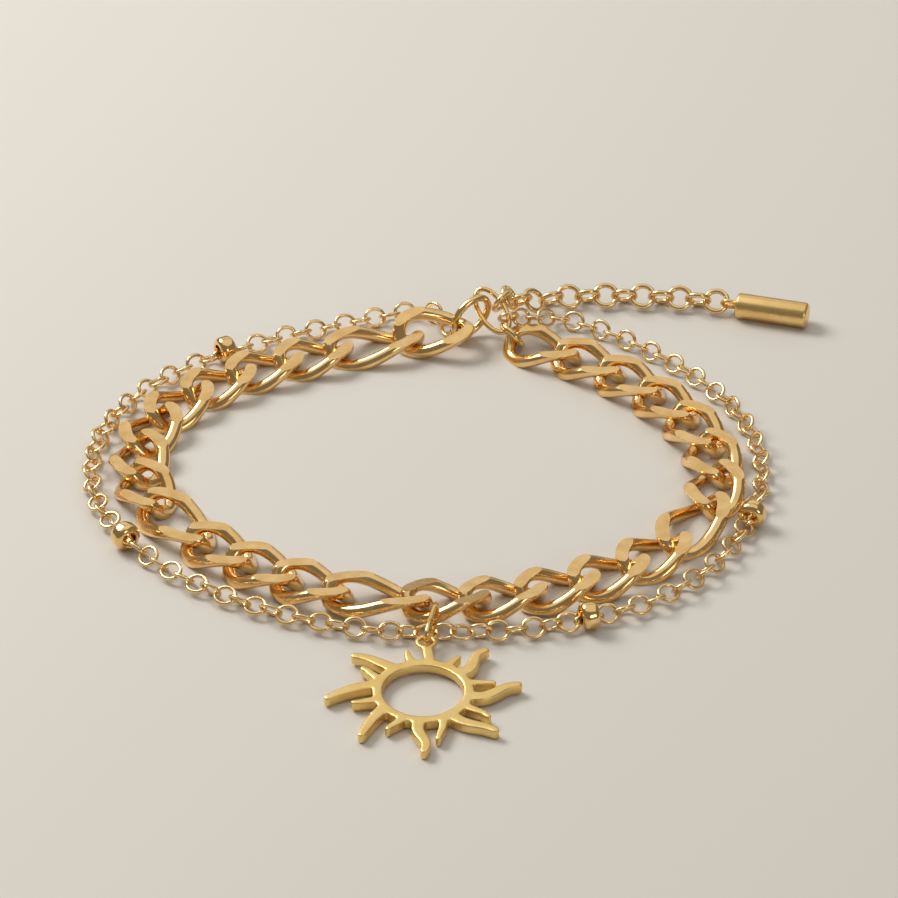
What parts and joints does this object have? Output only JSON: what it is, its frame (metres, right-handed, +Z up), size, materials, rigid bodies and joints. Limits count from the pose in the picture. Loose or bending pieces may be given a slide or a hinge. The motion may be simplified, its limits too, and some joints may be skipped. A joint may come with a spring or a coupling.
{
  "type": "layered chain bracelet",
  "caption": "Layered bracelet lying open: a figaro chain and a fine beaded satellite chain joined at the closure, with a sun pendant on a jump ring and an extender chain ending in a round bar.",
  "frame": {"origin": "centre of the footprint, on the surface the bracelet lies on", "axes": "+Z up from the surface, the pendant lies towards -Y and the closure and extender towards +Y"},
  "size_m": [0.0674, 0.0722, 0.0046],
  "materials": {
    "chain_gold": "polished gold plate on brass, filed flats on each link",
    "fine_gold": "polished gold plate, fine wire",
    "bead_gold": "high polish gold plate",
    "satin_gold": "satin gold plate with a fine grain",
    "ring_gold": "polished gold plate, round wire"
  },
  "bodies": {
    "root": {"main_link_00": "chain_gold", "main_link_01": "chain_gold", "main_link_02": "chain_gold", "main_link_03": "chain_gold", "main_link_04": "chain_gold", "main_link_05": "chain_gold", "main_link_06": "chain_gold", "main_link_07": "chain_gold", "main_link_08": "chain_gold", "main_link_09": "chain_gold", "main_link_10": "chain_gold", "main_link_11": "chain_gold", "main_link_12": "chain_gold", "main_link_13": "chain_gold", "main_link_14": "chain_gold", "main_link_15": "chain_gold", "main_link_16": "chain_gold", "main_link_17": "chain_gold", "main_link_18": "chain_gold", "main_link_19": "chain_gold", "main_link_20": "chain_gold", "main_link_21": "chain_gold", "main_link_22": "chain_gold", "main_link_23": "chain_gold", "main_link_24": "chain_gold", "main_link_25": "chain_gold", "main_link_26": "chain_gold", "sun_pendant": "satin_gold", "pendant_jump_ring": "ring_gold", "satellite_chain_1": "fine_gold", "satellite_chain_2": "fine_gold", "satellite_chain_3": "fine_gold", "satellite_chain_4": "fine_gold", "satellite_chain_5": "fine_gold", "satellite_chain_6": "fine_gold", "satellite_bead_1": "bead_gold", "satellite_bead_2": "bead_gold", "satellite_bead_3": "bead_gold", "satellite_bead_4": "bead_gold", "closure_ring": "ring_gold", "end_ring": "ring_gold", "link_ring": "ring_gold", "extender_chain": "fine_gold", "extender_end_bar": "bead_gold"}
  },
  "joints": []
}
